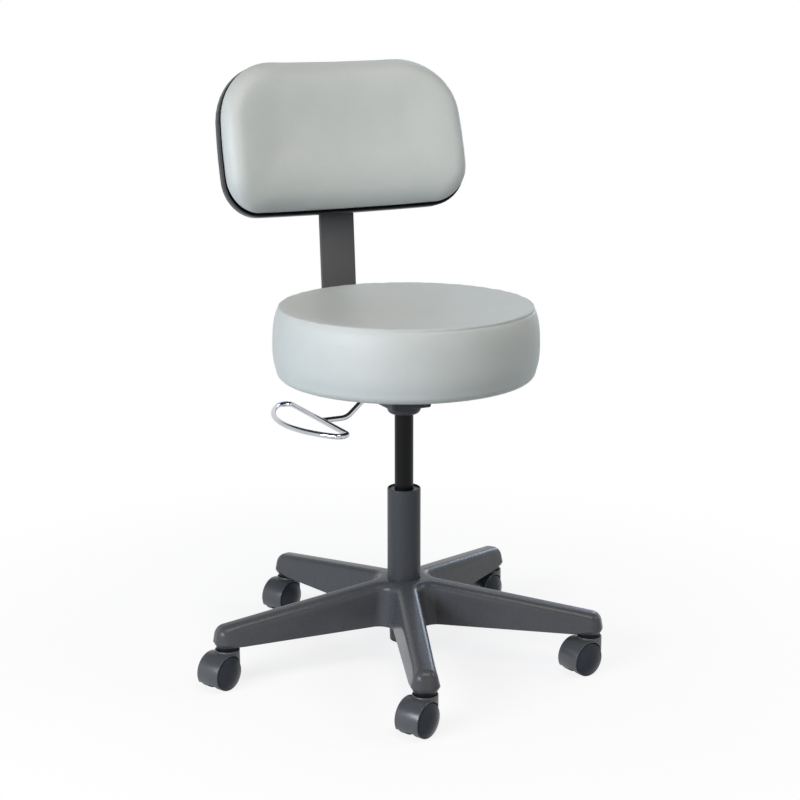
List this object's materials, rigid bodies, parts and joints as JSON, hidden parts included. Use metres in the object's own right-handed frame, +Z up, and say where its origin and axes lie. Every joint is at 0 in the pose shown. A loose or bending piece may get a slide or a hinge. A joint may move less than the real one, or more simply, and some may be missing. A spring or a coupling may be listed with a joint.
{
  "type": "exam stool with backrest",
  "caption": "Round padded exam stool on a star base with twin-wheel casters, gas lift, wire release lever and an adjustable padded backrest on a flat bar.",
  "frame": {"origin": "on the floor, under the middle of the stool's outline", "axes": "+Z up, a sitter faces -Y, the backrest stands at +Y and the release lever points to -X"},
  "size_m": [0.5879, 0.5966, 0.8873],
  "materials": {
    "grey_vinyl": "fine-grained grey upholstery vinyl",
    "charcoal_nylon": "moulded glass-filled nylon, satin",
    "shell_plastic": "moulded polypropylene, fine texture",
    "wheel_plastic": "moulded black nylon",
    "painted_steel": "charcoal powder coat",
    "black_steel": "smooth black enamel",
    "chrome": "bright chrome plate",
    "zinc_steel": "bright zinc plate",
    "plywood": "black-stained birch plywood",
    "rubber": "moulded"
  },
  "bodies": {
    "base": {"star_base": "charcoal_nylon", "column_tube": "painted_steel", "guide_bush": "wheel_plastic", "thrust_bearing": "zinc_steel", "caster_stem_1": "black_steel", "caster_stem_2": "black_steel", "caster_stem_3": "black_steel", "caster_stem_4": "black_steel", "caster_stem_5": "black_steel"},
    "rod": {"piston_rod": "zinc_steel", "piston": "zinc_steel", "bumper": "rubber", "retaining_clip": "zinc_steel"},
    "seat": {"gas_tube": "black_steel", "rod_guide": "rubber", "taper_socket": "painted_steel", "mechanism_box": "painted_steel", "lever_pin": "zinc_steel", "seat_plate": "painted_steel", "seat_board": "plywood", "seat_cushion": "grey_vinyl", "seat_bolt_1": "zinc_steel", "seat_bolt_2": "zinc_steel", "seat_bolt_3": "zinc_steel", "seat_bolt_4": "zinc_steel", "bar_sleeve": "painted_steel"},
    "valve": {"valve_button": "zinc_steel"},
    "lever": {"release_lever": "chrome"},
    "bar": {"backrest_bar": "painted_steel"},
    "depth_clamp": {"depth_knob": "charcoal_nylon"},
    "pad": {"back_cushion": "grey_vinyl", "back_board": "plywood", "back_shell": "shell_plastic", "height_sleeve": "painted_steel", "back_screw_1": "zinc_steel", "back_screw_2": "zinc_steel", "back_screw_3": "zinc_steel", "back_screw_4": "zinc_steel"},
    "height_clamp": {"height_knob": "charcoal_nylon"},
    "caster_1": {"caster_hood_1": "charcoal_nylon", "caster_axle_1": "zinc_steel"},
    "caster_2": {"caster_hood_2": "charcoal_nylon", "caster_axle_2": "zinc_steel"},
    "caster_3": {"caster_hood_3": "charcoal_nylon", "caster_axle_3": "zinc_steel"},
    "caster_4": {"caster_hood_4": "charcoal_nylon", "caster_axle_4": "zinc_steel"},
    "caster_5": {"caster_hood_5": "charcoal_nylon", "caster_axle_5": "zinc_steel"},
    "wheel_1_left": {"caster_wheel_1_left": "wheel_plastic"},
    "wheel_1_right": {"caster_wheel_1_right": "wheel_plastic"},
    "wheel_2_left": {"caster_wheel_2_left": "wheel_plastic"},
    "wheel_2_right": {"caster_wheel_2_right": "wheel_plastic"},
    "wheel_3_left": {"caster_wheel_3_left": "wheel_plastic"},
    "wheel_3_right": {"caster_wheel_3_right": "wheel_plastic"},
    "wheel_4_left": {"caster_wheel_4_left": "wheel_plastic"},
    "wheel_4_right": {"caster_wheel_4_right": "wheel_plastic"},
    "wheel_5_left": {"caster_wheel_5_left": "wheel_plastic"},
    "wheel_5_right": {"caster_wheel_5_right": "wheel_plastic"}
  },
  "joints": [
    {"name": "seat_swivel", "type": "hinge", "parent": "base", "child": "rod", "pos_m": [0.037, 0.003, 0.033], "axis": [0, 0, 1], "continuous": true},
    {"name": "gas_lift", "type": "slide", "parent": "rod", "child": "seat", "axis": [0, 0, 1], "range_m": [-0.105, 0.035]},
    {"name": "lever_press", "type": "hinge", "parent": "seat", "child": "lever", "pos_m": [0.015, 0.003, 0.4278], "axis": [0, 1, 0], "range_deg": [0, 8], "stiffness_Nm_per_rad": 2},
    {"name": "valve_press", "type": "slide", "parent": "seat", "child": "valve", "axis": [0, 0, -1], "range_m": [0, 0.0031]},
    {"name": "bar_depth", "type": "slide", "parent": "seat", "child": "bar", "axis": [0, 1, 0], "range_m": [-0.02, 0.03]},
    {"name": "depth_knob_turn", "type": "hinge", "parent": "seat", "child": "depth_clamp", "pos_m": [0.037, 0.108, 0.4125], "axis": [0, 0, -1], "range_deg": [0, 360]},
    {"name": "pad_height", "type": "slide", "parent": "bar", "child": "pad", "axis": [0, 0.2487, 0.9686], "range_m": [-0.03, 0.05]},
    {"name": "height_knob_turn", "type": "hinge", "parent": "pad", "child": "height_clamp", "pos_m": [0.037, 0.27149, 0.762], "axis": [0, 0.9686, -0.2487], "range_deg": [0, 360]},
    {"name": "caster_1_swivel", "type": "hinge", "parent": "base", "child": "caster_1", "pos_m": [-0.06342, -0.26137, 0.045], "axis": [0, 0, 1], "continuous": true},
    {"name": "caster_2_swivel", "type": "hinge", "parent": "base", "child": "caster_2", "pos_m": [0.2574, -0.1742, 0.045], "axis": [0, 0, 1], "continuous": true},
    {"name": "caster_3_swivel", "type": "hinge", "parent": "base", "child": "caster_3", "pos_m": [0.27364, 0.15785, 0.045], "axis": [0, 0, 1], "continuous": true},
    {"name": "caster_4_swivel", "type": "hinge", "parent": "base", "child": "caster_4", "pos_m": [-0.03715, 0.27591, 0.045], "axis": [0, 0, 1], "continuous": true},
    {"name": "caster_5_swivel", "type": "hinge", "parent": "base", "child": "caster_5", "pos_m": [-0.24546, 0.01681, 0.045], "axis": [0, 0, 1], "continuous": true},
    {"name": "wheel_1_left_spin", "type": "hinge", "parent": "caster_1", "child": "wheel_1_left", "pos_m": [-0.07825, -0.2686, 0.0255], "axis": [-0.4384, 0.8988, 0], "continuous": true},
    {"name": "wheel_1_right_spin", "type": "hinge", "parent": "caster_1", "child": "wheel_1_right", "pos_m": [-0.07825, -0.2686, 0.0255], "axis": [-0.4384, 0.8988, 0], "continuous": true},
    {"name": "wheel_2_left_spin", "type": "hinge", "parent": "caster_2", "child": "wheel_2_left", "pos_m": [0.2412, -0.17735, 0.0255], "axis": [-0.1908, 0.9816, 0], "continuous": true},
    {"name": "wheel_2_right_spin", "type": "hinge", "parent": "caster_2", "child": "wheel_2_right", "pos_m": [0.2412, -0.17735, 0.0255], "axis": [-0.1908, 0.9816, 0], "continuous": true},
    {"name": "wheel_3_left_spin", "type": "hinge", "parent": "caster_3", "child": "wheel_3_left", "pos_m": [0.25881, 0.15062, 0.0255], "axis": [-0.4384, 0.8988, 0], "continuous": true},
    {"name": "wheel_3_right_spin", "type": "hinge", "parent": "caster_3", "child": "wheel_3_right", "pos_m": [0.25881, 0.15062, 0.0255], "axis": [-0.4384, 0.8988, 0], "continuous": true},
    {"name": "wheel_4_left_spin", "type": "hinge", "parent": "caster_4", "child": "wheel_4_left", "pos_m": [-0.05198, 0.26867, 0.0255], "axis": [-0.4384, 0.8988, 0], "continuous": true},
    {"name": "wheel_4_right_spin", "type": "hinge", "parent": "caster_4", "child": "wheel_4_right", "pos_m": [-0.05198, 0.26867, 0.0255], "axis": [-0.4384, 0.8988, 0], "continuous": true},
    {"name": "wheel_5_left_spin", "type": "hinge", "parent": "caster_5", "child": "wheel_5_left", "pos_m": [-0.26029, 0.00958, 0.0255], "axis": [-0.4384, 0.8988, 0], "continuous": true},
    {"name": "wheel_5_right_spin", "type": "hinge", "parent": "caster_5", "child": "wheel_5_right", "pos_m": [-0.26029, 0.00958, 0.0255], "axis": [-0.4384, 0.8988, 0], "continuous": true}
  ],
  "couplings": [
    {"joint": "valve_press", "follows": "lever_press", "m_per_rad": 0.022}
  ]
}
